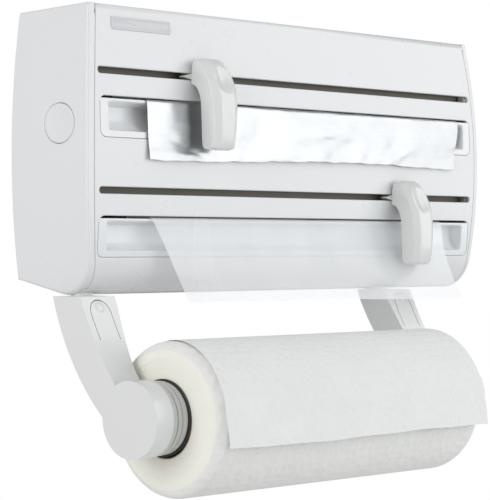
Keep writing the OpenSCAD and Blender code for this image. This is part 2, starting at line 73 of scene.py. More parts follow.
# end caps: where they begin beside the rear shell, and the small radius of the rear edges
CAP_X = 176.0
WALL = 2.5
EDGE_R = 0.9
# rear edge of the cover, and where the caps step back from the cover's width to the shell's
COVER_BACK = -47.1
STEP_LOW, STEP_TOP = -46.95, -48.2
SCREWS = ((-14, -10), (-14, -135))
# middles of the cutter slots and upper edges of the windows
SLOT_Z = (-22.4, -91.6)
WINDOW_Z = (-37.1, -106.3)
WINDOW_H, SLOT_L, WINDOW_L, SLOT_H, SLIT_H = 24.0, 350.0, 349.0, 4.0, 1.5
BEAD_R, BEAD_Z = 3.2, 13.18
BEAD_Y = FRONT_Y - math.sqrt(FRONT_R ** 2 - (BEAD_Z - FRONT_Z) ** 2) + BEAD_R
# (y, z) of the buttons and of the arms' hubs
BUTTON = (-38.0, -53.0)
BUTTON_R = 11.5
AXIS = (-97.5, -220.7)
# outsides of the left and the right arm, and twice the x of the plane they mirror about
ARM_X = -187.0
RIGHT_ARM_X = 113.0
ARM_MIRROR = RIGHT_ARM_X + ARM_X
# towel roll, which hangs on the plugs a little below the hubs' axis
TOWEL_X, TOWEL_L, TOWEL_R = -159.8, 238.0, 44.9
ROLL_Z, CORE_R = -222.35, 22.5
# the cutters' places at rest
CUTTER_X = (-89.0, 99.0)


def face_y(z):
    """The cover's outside at the height z."""
    return FRONT_Y - math.sqrt(FRONT_R ** 2 - (z - FRONT_Z) ** 2)


def half_w(z):
    """Half width of the bulged ends at the height z, at the wall."""
    return HALF_W - END_R + math.sqrt(END_R ** 2 - (z - FRONT_Z) ** 2)


def side_x(y, z, g=0.0):
    """Half width at the leaning end face, inset by g."""
    return HALF_W - (HALF_W - half_w(z) + g - y * math.sin(TAPER)) / math.cos(TAPER)


def seam_x(z):
    """Half width at the seam between the cover and the end caps."""
    return half_w(z) - SEAM_INSET


# ------------------------------------------------------------------ mesh tools
def build(name, verts, faces, mats, body, slot=None, replaces=(), angle=35, normals=None, slots=None):
    """A mesh piece from points in mm, smooth by angle or with its own normals."""
    me = bpy.data.meshes.new(name)
    me.from_pydata([tuple(c * MM for c in v) for v in verts], [], [tuple(f) for f in faces])
    me.validate()
    me.polygons.foreach_set("use_smooth", [True] * len(me.polygons))
    for m in (mats if isinstance(mats, (list, tuple)) else [mats]):
        me.materials.append(m)
    if slots is not None and len(slots) == len(me.polygons):
        me.polygons.foreach_set("material_index", slots)
    if angle:
        me.set_sharp_from_angle(angle=math.radians(angle))
    if normals is not None:
        me.normals_split_custom_set_from_vertices([tuple(n) for n in normals])
    me.update()
    ob = bpy.data.objects.new(name, me)
    bpy.context.scene.collection.objects.link(ob)
    if body:
        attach(ob, body)
    if replaces:
        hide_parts(*replaces)
    return ob


def fix_normals(verts, faces):
    """The faces turned to look outward, for a closed mesh."""
    bm = bmesh.new()
    vs = [bm.verts.new(v) for v in verts]
    for f in faces:
        if len(set(f)) > 2:
            try:
                bm.faces.new([vs[i] for i in f])
            except ValueError:
                pass
    bmesh.ops.recalc_face_normals(bm, faces=bm.faces)
    bm.verts.index_update()
    v = [tuple(x.co) for x in bm.verts]
    f = [[x.index for x in p.verts] for p in bm.faces]
    bm.free()
    return v, f


def bevel(ob, width, segments, angle):
    m = ob.modifiers.new("edges", "BEVEL")
    m.width = width * MM
    m.segments = segments
    m.limit_method = "ANGLE"
    m.angle_limit = math.radians(angle)
    m.use_clamp_overlap = True
    m.miter_outer = "MITER_ARC"
    w = ob.modifiers.new("weighted", "WEIGHTED_NORMAL")
    w.keep_sharp = True


def mirrored(verts, faces, about=0.0):
    """The mesh with each x replaced by about - x, its faces turned back outward."""
    return [(about - v[0], v[1], v[2]) for v in verts], [list(reversed(f)) for f in faces]


class Builder:
    """Collects points and faces."""

    def __init__(self):
        self.v, self.f = [], []

    def ring(self, pts):
        n = len(self.v)
        self.v += [tuple(p) for p in pts]
        return list(range(n, n + len(pts)))

    def bridge(self, a, b, closed=True):
        n = len(a)
        for i in range(n if closed else n - 1):
            j = (i + 1) % n
            self.f.append([a[i], a[j], b[j], b[i]])

    def cap(self, a, flip=False):
        self.f.append(list(reversed(a)) if flip else list(a))

    def fan(self, a, centre, flip=False):
        c = len(self.v)
        self.v.append(tuple(centre))
        for i in range(len(a)):
            j = (i + 1) % len(a)
            self.f.append([a[j], a[i], c] if flip else [a[i], a[j], c])

    def lathe(self, profile, y, z, n=96, cap0=True, cap1=True):
        """Turns (x, r) round an axis along X through (y, z)."""
        rings = []
        for x, r in profile:
            rings.append(self.ring([
                (x, y + r * math.cos(2 * math.pi * i / n), z + r * math.sin(2 * math.pi * i / n))
                for i in range(n)
            ]))
        for a, b in zip(rings, rings[1:]):
            self.bridge(a, b)
        if cap0:
            self.fan(rings[0], (profile[0][0], y, z), True)
        if cap1:
            self.fan(rings[-1], (profile[-1][0], y, z))
        return rings


def arc(cx, cy, r, a0, a1, n):
    return [
        (cx + r * math.cos(math.radians(a0 + (a1 - a0) * i / n)),
         cy + r * math.sin(math.radians(a0 + (a1 - a0) * i / n)))
        for i in range(n + 1)
    ]


def rounded_rect(u0, u1, v0, v1, r, n=8, step=6.0):
    """Counter-clockwise outline with rounded corners and points along its sides."""
    pts = []
    for cx, cy, a0 in (
        (u1 - r, v0 + r, -90), (u1 - r, v1 - r, 0), (u0 + r, v1 - r, 90), (u0 + r, v0 + r, 180),
    ):
        pts += arc(cx, cy, r, a0, a0 + 90, n)
    out = []
    for i, p in enumerate(pts):
        q = pts[(i + 1) % len(pts)]
        out.append(p)
        d = math.dist(p, q)
        k = int(d // step)
        for j in range(1, k + 1):
            t = j / (k + 1)
            out.append((p[0] + (q[0] - p[0]) * t, p[1] + (q[1] - p[1]) * t))
    return out


def outline_normals(pts):
    """Unit normals pointing out of a counter-clockwise outline."""
    n = len(pts)
    out = []
    for i in range(n):
        ax, ay = pts[i - 1]
        bx, by = pts[(i + 1) % n]
        dx, dy = bx - ax, by - ay
        d = math.hypot(dx, dy)
        out.append((dy / d, -dx / d))
    return out


def grow(pts, g):
    return [(p[0] + n[0] * g, p[1] + n[1] * g) for p, n in zip(pts, outline_normals(pts))]


def inside(pts, x, y):
    hit = False
    n = len(pts)
    for i in range(n):
        x0, y0 = pts[i]
        x1, y1 = pts[(i + 1) % n]
        if (y0 > y) != (y1 > y) and x < (x1 - x0) * (y - y0) / (y1 - y0) + x0:
            hit = not hit
    return hit


def triangulate(outer, holes, us, vs):
    """Points and triangles of a flat region with holes, following a grid inside it."""
    margin = 0.6
    loops = [outer] + holes
    pts, edges, marks = [], [], []
    for loop in loops:
        base = len(pts)
        pts += loop
        marks.append(list(range(base, base + len(loop))))
        edges += [(base + i, base + (i + 1) % len(loop)) for i in range(len(loop))]
    ring = np.array([p for loop in loops for p in loop])
    for u in us:
        for v in vs:
            if inside(outer, u, v) and not any(inside(h, u, v) for h in holes):
                if np.min(np.abs(ring[:, 0] - u) + np.abs(ring[:, 1] - v)) > margin:
                    pts.append((u, v))
    co, _, tris, orig, _, _ = delaunay_2d_cdt([Vector(p) for p in pts], edges, [], 0, 1e-7)
    remap = {}
    for new, olds in enumerate(orig):
        for o in olds:
            remap[o] = new
    co = [(c.x, c.y) for c in co]
    keep = []
    for t in tris:
        mx = sum(co[i][0] for i in t) / 3
        my = sum(co[i][1] for i in t) / 3
        a, b, c = (co[i] for i in t)
        area = (b[0] - a[0]) * (c[1] - a[1]) - (b[1] - a[1]) * (c[0] - a[0])
        if abs(area) < 1e-9:
            continue
        if inside(outer, mx, my) and not any(inside(h, mx, my) for h in holes):
            keep.append(list(t) if area > 0 else list(reversed(t)))
    return co, keep, [[remap[i] for i in m] for m in marks]


# ------------------------------------------------------------------ front profile
# The cover's outside as an arc length v, from its lower rear edge up to the hinge bead.
EDGE_Y = COVER_BACK - CORNER_Y
A_EDGE = math.degrees(math.atan2(-math.sqrt(CORNER_R ** 2 - EDGE_Y ** 2), EDGE_Y)) + 360
A_TANGENT = math.degrees(math.atan2(CORNER_Z - FRONT_Z, CORNER_Y - FRONT_Y)) + 360
A_BEAD = math.degrees(math.atan2(BEAD_Z - FRONT_Z, BEAD_Y - FRONT_Y))
LEN_CORNER = CORNER_R * math.radians(A_EDGE - A_TANGENT)
LEN_FRONT = FRONT_R * math.radians(A_TANGENT - A_BEAD)


def on_front(v):
    """(y, z, outward normal y, z) at the arc length v."""
    if v < LEN_CORNER:
        a = math.radians(A_EDGE) - v / CORNER_R
        return CORNER_Y + CORNER_R * math.cos(a), CORNER_Z + CORNER_R * math.sin(a), math.cos(a), math.sin(a)
    a = math.radians(A_TANGENT) - (v - LEN_CORNER) / FRONT_R
    return FRONT_Y + FRONT_R * math.cos(a), FRONT_Z + FRONT_R * math.sin(a), math.cos(a), math.sin(a)


def v_of(z):
    """Arc length where the front is at the height z."""
    a = math.pi + math.asin((FRONT_Z - z) / FRONT_R)
    return LEN_CORNER + (math.radians(A_TANGENT) - a) * FRONT_R


def lift(u, v, d=0.0):
    """Point of the front at (u, v), d below its surface."""
    y, z, ny, nz = on_front(v)
    return (u, y - ny * d, z - nz * d)


def spread(a, b, step):
    """Even places from a to b, about one step apart."""
    n = max(1, int(round((b - a) / step)))
    return [a + (b - a) * i / n for i in range(n + 1)]


# ------------------------------------------------------------------ materials
def new_material(name):
    m = bpy.data.materials.new(name)
    m.use_nodes = True
    nt = m.node_tree
    b = nt.nodes["Principled BSDF"]
    return m, nt, b


def coordinates(nt, scale=(1, 1, 1)):
    tc = nt.nodes.new("ShaderNodeTexCoord")
    mp = nt.nodes.new("ShaderNodeMapping")
    mp.inputs["Scale"].default_value = scale
    nt.links.new(tc.outputs["Object"], mp.inputs["Vector"])
    return mp.outputs["Vector"]


def ramp(nt, fac, stops):
    r = nt.nodes.new("ShaderNodeValToRGB")
    while len(r.color_ramp.elements) < len(stops):
        r.color_ramp.elements.new(0.5)
    for e, (p, c) in zip(r.color_ramp.elements, stops):
        e.position = p
        e.color = (*c, 1)
    nt.links.new(fac, r.inputs["Fac"])
    return r.outputs["Color"]


def remap(nt, value, lo, hi, a, b):
    r = nt.nodes.new("ShaderNodeMapRange")
    r.inputs["From Min"].default_value = lo
    r.inputs["From Max"].default_value = hi
    r.inputs["To Min"].default_value = a
    r.inputs["To Max"].default_value = b
    nt.links.new(value, r.inputs["Value"])
    return r.outputs["Result"]


def noise(nt, vec, scale, detail=3.0, rough=0.5, distortion=0.0):
    n = nt.nodes.new("ShaderNodeTexNoise")
    n.inputs["Scale"].default_value = scale
    n.inputs["Detail"].default_value = detail
    n.inputs["Roughness"].default_value = rough
    n.inputs["Distortion"].default_value = distortion
    nt.links.new(vec, n.inputs["Vector"])
    return n.outputs["Fac"]


def bump(nt, height, strength, distance, before=None):
    b = nt.nodes.new("ShaderNodeBump")
    b.inputs["Strength"].default_value = strength
    b.inputs["Distance"].default_value = distance
    nt.links.new(height, b.inputs["Height"])
    if before is not None:
        nt.links.new(before, b.inputs["Normal"])
    return b.outputs["Normal"]


def plastic(name, base, rough=0.3, grain=0.06, grain_scale=1400.0, shade=0.035, coat=0.0, uneven=0.05):
    """Moulded plastic: faint flow marks in the colour, fine grain, uneven gloss."""
    m, nt, b = new_material(name)
    vec = coordinates(nt)
    big = noise(nt, vec, 9.0, 4.0, 0.55)
    dark = tuple(c * (1 - shade) for c in base)
    nt.links.new(ramp(nt, big, [(0.3, dark), (0.7, base)]), b.inputs["Base Color"])
    mid = noise(nt, vec, 60.0, 5.0, 0.6)
    nt.links.new(remap(nt, mid, 0.25, 0.75, rough - uneven, rough + uneven), b.inputs["Roughness"])
    fine = noise(nt, vec, grain_scale, 2.0, 0.6)
    nt.links.new(bump(nt, fine, grain, 0.00004), b.inputs["Normal"])
    b.inputs["Coat Weight"].default_value = coat
    b.inputs["Coat Roughness"].default_value = 0.12
    return m


def metal(name, base):
    """Brushed metal: fine lines along X."""
    m, nt, b = new_material(name)
    lines = noise(nt, coordinates(nt, (40, 900, 900)), 1.0, 3.0, 0.6)
    dark = tuple(c * 0.82 for c in base)
    nt.links.new(ramp(nt, lines, [(0.25, dark), (0.75, base)]), b.inputs["Base Color"])
    b.inputs["Metallic"].default_value = 1.0
    nt.links.new(remap(nt, lines, 0.2, 0.8, 0.24, 0.4), b.inputs["Roughness"])
    nt.links.new(bump(nt, lines, 0.15, 0.00005), b.inputs["Normal"])
    return m


def foil_material():
    """Kitchen foil: rolling lines along X, soft creases and a fine grain."""
    m, nt, b = new_material("foil")
    vec = coordinates(nt)
    b.inputs["Metallic"].default_value = 1.0
    roll = noise(nt, coordinates(nt, (3, 500, 500)), 1.0, 2.0, 0.5)
    dark, base = (0.45, 0.462, 0.474), (0.5, 0.512, 0.524)
    nt.links.new(ramp(nt, roll, [(0.2, dark), (0.8, base)]), b.inputs["Base Color"])
    nt.links.new(remap(nt, roll, 0.2, 0.8, 0.27, 0.34), b.inputs["Roughness"])
    creases = noise(nt, coordinates(nt, (15, 34, 34)), 1.0, 2.6, 0.45, 0.5)
    fine = noise(nt, vec, 260.0, 3.0, 0.55)
    n0 = bump(nt, creases, 0.85, 0.0058)
    nt.links.new(bump(nt, fine, 0.05, 0.0002, n0), b.inputs["Normal"])
    return m


def film_material():
    """Clear film: half see-through, with a slight glow that lifts its tone."""
    m, nt, b = new_material("film")
    b.inputs["Base Color"].default_value = (0.85, 0.865, 0.88, 1)
    b.inputs["Specular IOR Level"].default_value = 0.8
    b.inputs["Coat Weight"].default_value = 0.3
    stretch = noise(nt, coordinates(nt, (22, 9, 9)), 1.0, 2.0, 0.4, 0.4)
    nt.links.new(remap(nt, stretch, 0.25, 0.75, 0.2, 0.3), b.inputs["Roughness"])
    nt.links.new(remap(nt, stretch, 0.3, 0.75, 0.52, 0.62), b.inputs["Alpha"])
    nt.links.new(bump(nt, stretch, 0.04, 0.0005), b.inputs["Normal"])
    b.inputs["Emission Color"].default_value = (0.92, 0.96, 1.0, 1)
    b.inputs["Emission Strength"].default_value = 0.06
    return m


def paper_material(name, base, emboss=0.6, pitch=250.0):
    """Soft tissue with an embossed quilt of small cells."""
    m, nt, b = new_material(name)
    vec = coordinates(nt)
    cloud = noise(nt, vec, 30.0, 4.0, 0.6)
    dark = tuple(c * 0.965 for c in base)
    nt.links.new(ramp(nt, cloud, [(0.3, dark), (0.7, base)]), b.inputs["Base Color"])
    b.inputs["Roughness"].default_value = 0.95
    b.inputs["Specular IOR Level"].default_value = 0.15
    b.inputs["Sheen Weight"].default_value = 0.15
    b.inputs["Sheen Roughness"].default_value = 0.6
    vor = nt.nodes.new("ShaderNodeTexVoronoi")
    vor.feature = "SMOOTH_F1"
    vor.inputs["Scale"].default_value = pitch
    vor.inputs["Smoothness"].default_value = 0.4
    vor.inputs["Randomness"].default_value = 0.55
    nt.links.new(vec, vor.inputs["Vector"])
    fibre = noise(nt, vec, 2200.0, 3.0, 0.7)
    n0 = bump(nt, vor.outputs["Distance"], emboss, 0.0007)
    nt.links.new(bump(nt, fibre, 0.25, 0.00012, n0), b.inputs["Normal"])
    return m


def card_material():
    m, nt, b = new_material("card")
    vec = coordinates(nt, (60, 900, 900))
    fibres = noise(nt, vec, 1.0, 4.0, 0.65)
    dark, base = (0.42, 0.31, 0.2), (0.6, 0.46, 0.31)
    nt.links.new(ramp(nt, fibres, [(0.25, dark), (0.75, base)]), b.inputs["Base Color"])
    b.inputs["Roughness"].default_value = 0.9
    nt.links.new(bump(nt, fibres, 0.3, 0.00015), b.inputs["Normal"])
    return m


def rubber_and_gap_shade_material():
    m, nt, b = new_material("rubber")
    vec = coordinates(nt)
    speck = noise(nt, vec, 700.0, 3.0, 0.6)
    # near black: the rubber's own colour, and painted shade for the dark gap between the plug's collar and
    # the roll's core
    dark, base = (0.016, 0.016, 0.017), (0.035, 0.035, 0.036)
    nt.links.new(ramp(nt, speck, [(0.3, dark), (0.7, base)]), b.inputs["Base Color"])
    b.inputs["Roughness"].default_value = 0.55
    nt.links.new(bump(nt, speck, 0.3, 0.0001), b.inputs["Normal"])
    return m


SHELL = plastic("shell", (0.80, 0.81, 0.82), rough=0.28, grain=0.006, coat=0.15, shade=0.008, uneven=0.012)
TRAY = plastic("tray", (0.84, 0.855, 0.87), rough=0.2, grain=0.006, coat=0.3, shade=0.008, uneven=0.012)
INNER = plastic("inner", (0.5, 0.5, 0.49), rough=0.45)
# cutter rails: painted shade, their colour darkened so the slots read as deep and shadowed inside
RAIL_PAINTED_SHADE = plastic("rail", (0.26, 0.235, 0.195), rough=0.6)
PLATE = plastic("plate", (0.68, 0.69, 0.71), rough=0.3)
CUTTER = plastic("cutter", (0.77, 0.78, 0.77), rough=0.2, grain=0.01, shade=0.01, coat=0.4, uneven=0.01)
ARM = plastic(
    "arm", (0.79, 0.8, 0.795), rough=0.3, grain=0.02, grain_scale=1800.0, shade=0.012, coat=0.35, uneven=0.02,
)
PLUG = plastic("plug", (0.6, 0.605, 0.59), rough=0.3)
FLOOR = plastic("floor", (0.95, 0.95, 0.94), rough=0.8, grain=0.2, grain_scale=300.0)
STEEL = metal("steel", (0.62, 0.63, 0.65))
FOIL = foil_material()
FILM = film_material()
FILM_ROLL = plastic("film_roll", (0.72, 0.77, 0.8), rough=0.12, coat=0.4)
PAPER = paper_material("paper", (0.88, 0.88, 0.86), emboss=1.3, pitch=190.0)
PAPER_END = paper_material("paper_end", (0.93, 0.925, 0.845), emboss=0.1, pitch=500.0)
TISSUE = paper_material("tissue", (0.88, 0.885, 0.88), emboss=1.1, pitch=260.0)
CARD = card_material()
RUBBER_AND_GAP_SHADE = rubber_and_gap_shade_material()

BY_SLOT = {
    "shell": SHELL, "inner": INNER, "rail": RAIL_PAINTED_SHADE, "plate": PLATE, "steel": STEEL,
    "cutter": CUTTER, "foil": FOIL, "film": FILM_ROLL, "card": CARD, "arm": ARM,
    "plug": PLUG, "rubber": RUBBER_AND_GAP_SHADE, "paper": PAPER,
}
for part in frame["record"]["subparts"]:
    ob = NODES[part["node"]]
    ob.data.materials.clear()
    ob.data.materials.append(BY_SLOT[part["material_slot"]])

# ------------------------------------------------------------------ end caps
def line_circle(n, c, cx, cy, r, pick):
    """Point on the line n.p = c at distance r from (cx, cy); pick chooses by smallest key."""
    d = c - (n[0] * cx + n[1] * cy)
    h = math.sqrt(max(r * r - d * d, 0))
    t = (-n[1], n[0])
    return min(((cx + n[0] * d + s * t[0] * h, cy + n[1] * d + s * t[1] * h) for s in (-1, 1)), key=pick)


def cross_lines(n0, c0, n1, c1):
    det = n0[0] * n1[1] - n0[1] * n1[0]
    return ((c0 * n1[1] - c1 * n0[1]) / det, (n0[0] * c1 - n1[0] * c0) / det)


def body_outline(g=0.0):
    """Points (y, z, side) round the body's section inset by g.

    Sides: 0 rear and its lower corner, 1 underside, 2 lower front corner, 3 front,
    4 top front corner, 5 top, 6 top rear corner.
    """

    def heading(v):
        return math.degrees(math.atan2(v[1], v[0])) % 360

    n_top = ((TOP_Z - REAR_Z) / TOP_DEPTH, 1.0)
    k = math.hypot(*n_top)
    n_top = (n_top[0] / k, n_top[1] / k)
    c_top = n_top[1] * REAR_Z
    touch = (CORNER_Y + CORNER_R * math.sin(SLOPE), CORNER_Z - CORNER_R * math.cos(SLOPE))
    n_low = (math.sin(SLOPE), -math.cos(SLOPE))
    c_low = n_low[0] * touch[0] + n_low[1] * touch[1]
    n_rear = (1.0, 0.0)
    r = max(EDGE_R - g, 0.15)
    low_rear = cross_lines(n_low, c_low - g - r, n_rear, -g - r)
    top_rear = cross_lines(n_top, c_top - g - r, n_rear, -g - r)
    top_front = line_circle(n_top, c_top - g - r, FRONT_Y, FRONT_Z, FRONT_R - g - r, pick=lambda p: p[0])
    a_tf = heading((top_front[0] - FRONT_Y, top_front[1] - FRONT_Z))
    out = []
    z0 = top_rear[1]
    z1 = low_rear[1]
    for i in range(12):
        out.append((-g, z0 + (z1 - z0) * i / 12, 0))
    out += [(y, z, 0) for y, z in arc(*low_rear, r, 0, heading(n_low) - 360, 5)[:-1]]
    s = (low_rear[0] + n_low[0] * r, low_rear[1] + n_low[1] * r)
    e = (CORNER_Y + n_low[0] * (CORNER_R - g), CORNER_Z + n_low[1] * (CORNER_R - g))
    for i in range(10):
        out.append((s[0] + (e[0] - s[0]) * i / 10, s[1] + (e[1] - s[1]) * i / 10, 1))
    out += [(y, z, 2) for y, z in arc(CORNER_Y, CORNER_Z, CORNER_R - g, heading(n_low), A_TANGENT, 20)[:-1]]
    out += [(y, z, 3) for y, z in arc(FRONT_Y, FRONT_Z, FRONT_R - g, A_TANGENT, a_tf, 40)[:-1]]
    out += [(y, z, 4) for y, z in arc(*top_front, r, a_tf, heading(n_top), 10)[:-1]]
    s = (top_front[0] + n_top[0] * r, top_front[1] + n_top[1] * r)
    e = (top_rear[0] + n_top[0] * r, top_rear[1] + n_top[1] * r)
    for i in range(10):
        out.append((s[0] + (e[0] - s[0]) * i / 10, s[1] + (e[1] - s[1]) * i / 10, 5))
    out += [(y, z, 6) for y, z in arc(*top_rear, r, heading(n_top), 0, 5)[:-1]]
    return out


def stepped(base):
    """The outline with a point either side of the step from the wide front to the rear."""
    out = []
    for i, p in enumerate(base):
        q = base[(i + 1) % len(base)]
        out.append((*p, p[0] < (STEP_TOP if p[2] > 3 else STEP_LOW)))
        for side, at in ((1, STEP_LOW), (5, STEP_TOP)):
            if p[2] == side and (p[0] - at) * (q[0] - at) < 0:
                t = (at - p[0]) / (q[0] - p[0])
                z = p[1] + (q[1] - p[1]) * t
                first = p[0] < at
                out.append((at, z, side, first))
                out.append((at + (0.02 if q[0] > p[0] else -0.02), z, side, not first))
    return out


def cap_geometry():
    """The end cap: a hollow shell with its seam lip, button hole, screw bosses and pin boss."""
    base = stepped(body_outline(0.0))
    n = len(base)
    # how far the rounding between the side and the edges reaches, smoothed along the outline
    want = {0: 0.8, 1: 2.4, 2: 3.4, 3: 1.9, 4: 1.2, 5: 1.2, 6: 0.8}
    f = np.array([want[p[2]] for p in base])
    for _ in range(40):
        f = (np.roll(f, 1) + f * 2 + np.roll(f, -1)) / 4
    f = np.minimum(f, np.array([{0: 0.8, 6: 0.8, 4: 1.2}.get(p[2], 99.0) for p in base]))
    pts = [(p[0], p[1]) for p in base]
    # beside the hinge bead the seam is wider, so that the cover's corners pass when it opens
    relief, relief_z, relief_run = 0.95, 8.7, 1.5
    inner_x = [
        seam_x(p[1]) + relief * min(max((p[1] - relief_z) / relief_run, 0.0), 1.0) if p[3] else CAP_X
        for p in base
    ]
    nrm = []
    for i in range(n):
        ay, az = pts[i - 1]
        by, bz = pts[(i + 1) % n]
        dy, dz = by - ay, bz - az
        k = math.hypot(dy, dz)
        nrm.append((-dz / k, dy / k))
    cy = sum(p[0] for p in pts) / n
    cz = sum(p[1] for p in pts) / n
    if sum((p[0] - cy) * m[0] + (p[1] - cz) * m[1] for p, m in zip(pts, nrm)) < 0:
        nrm = [(-a, -b) for a, b in nrm]
    b = Builder()
    rings = []

    def edge(off, back):
        return [
            (-side_x(y - m[0] * o, z - m[1] * o, d), y - m[0] * o, z - m[1] * o)
            for (y, z), m, o, d in zip(pts, nrm, off, back)
        ]

    # the front strip falls away a little between the seam and the crease
    drop = np.array([0.55 if p[3] and p[2] in (2, 3) else 0.0 for p in base])
    for _ in range(10):
        drop = (np.roll(drop, 1) + drop * 2 + np.roll(drop, -1)) / 4
    for dx, inset in ((0.0, 0.35), (0.12, 0.12), (0.4, 0.0)):
        rings.append(b.ring([
            (-x - dx, y - m[0] * inset, z - m[1] * inset)
            for x, (y, z), m in zip(inner_x, pts, nrm)
        ]))
    steps = 8
    for k in range(steps + 1):
        t = math.radians(90 * k / steps)
        rings.append(b.ring(edge(drop * (1 - k / steps) + f * (1 - math.cos(t)), f * (1 - math.sin(t)))))
    last = [(y - m[0] * o, z - m[1] * o) for (y, z), m, o in zip(pts, nrm, f)]
    hole = []
    for y, z in last:
        a = math.atan2(z - BUTTON[1], y - BUTTON[0])
        hole.append((math.cos(a), math.sin(a)))

    def round_hole(wider):
        r = BUTTON_R + wider
        return [(BUTTON[0] + r * c, BUTTON[1] + r * s) for c, s in hole]

    rows = 12
    for k in range(1, rows + 1):
        t = k / rows
        rings.append(b.ring([
            (-side_x(y0 + (y1 - y0) * t, z0 + (z1 - z0) * t), y0 + (y1 - y0) * t, z0 + (z1 - z0) * t)
            for (y0, z0), (y1, z1) in zip(last, round_hole(0.9))
        ]))
    for wider, depth in ((0.62, 0.06), (0.44, 0.2), (0.36, 0.45), (0.35, WALL)):
        rings.append(b.ring([(-side_x(y, z, depth), y, z) for y, z in round_hole(wider)]))
    # the inside of the shell, back out to the open rim
    rim = [(y - m[0] * WALL, z - m[1] * WALL) for (y, z), m in zip(pts, nrm)]
    rim = [(min(max(y, -58.4), -WALL), z) for y, z in rim]
    for k in range(5, -1, -1):
        t = k / 5
        rings.append(b.ring([
            (-side_x(y0 + (y1 - y0) * t, z0 + (z1 - z0) * t, WALL), y0 + (y1 - y0) * t, z0 + (z1 - z0) * t)
            for (y0, z0), (y1, z1) in zip(rim, round_hole(0.35))
        ]))
    rings.append(b.ring([(-x, y, z) for x, (y, z) in zip(inner_x, rim)]))
    for p, q in zip(rings, rings[1:]):
        b.bridge(p, q)
    b.bridge(rings[-1], rings[0])
    r, bore = 3.5, 1.4
    for y, z in SCREWS:
        boss = [(-side_x(y, z) + 1.5, r), (-CAP_X - 0.3, r), (-CAP_X, r - 0.3), (-CAP_X, bore)]
        b.lathe(boss + [(-CAP_X - 3.4, bore)], y, z, 32)
    end, r, pin_r = seam_x(BEAD_Z), BEAD_R - 0.25, 1.5
    b.lathe([
        (-side_x(BEAD_Y, BEAD_Z) + 1.0, r), (-end - 0.35, r), (-end - 0.1, r - 0.25),
        (-end - 0.1, pin_r), (-end - 3.6, pin_r),
    ], BEAD_Y, BEAD_Z, 48)
    return fix_normals(b.v, b.f)


cap_v, cap_f = cap_geometry()
build("left_end_cap_skin", cap_v, cap_f, SHELL, "housing", "shell", ["left_end_cap"], angle=40)
build("right_end_cap_skin", *mirrored(cap_v, cap_f), SHELL, "housing", "shell", ["right_end_cap"], angle=40)


def button_geometry():
    """The dished button, its head leaning with the end face."""
    face = -side_x(*BUTTON)
    r = BUTTON_R
    dish = [(0.95 - 0.95 * (k / 10) ** 2, (r - 1.0) * k / 10) for k in range(1, 11)]
    brim = [(0.02, r - 0.75), (0.0, r - 0.55), (0.07, r - 0.25), (0.22, r - 0.08), (0.42, r), (3.2, r)]
    flange = [(3.2, r + 1.2), (4.6, r + 1.2), (4.6, 6.3), (2.3, 6.3)]
    b = Builder()
    b.lathe(dish + brim + flange, 0, 0, 96)
    c, s = math.cos(TAPER), math.sin(TAPER)
    b.v = [(face + x * c - y * s, BUTTON[0] + x * s + y * c, BUTTON[1] + z) for x, y, z in b.v]
    b.lathe([(face + 1.8, 3.5), (-172.4, 3.5), (-172.4, 2.5), (-170.2, 2.5)], *BUTTON, 48)
    return fix_normals(b.v, b.f)


button_v, button_f = button_geometry()
build("left_button_skin", button_v, button_f, SHELL, "left_button_set", "shell", ["left_button"], angle=35)
build("right_button_skin", *mirrored(button_v, button_f), SHELL, "right_button_set", "shell",
      ["right_button"], angle=35)

# ------------------------------------------------------------------ front cover
V_END = LEN_CORNER + LEN_FRONT


def hole_outline(z0, z1, x, r):
    return rounded_rect(-x, x, v_of(z0), v_of(z1), r)


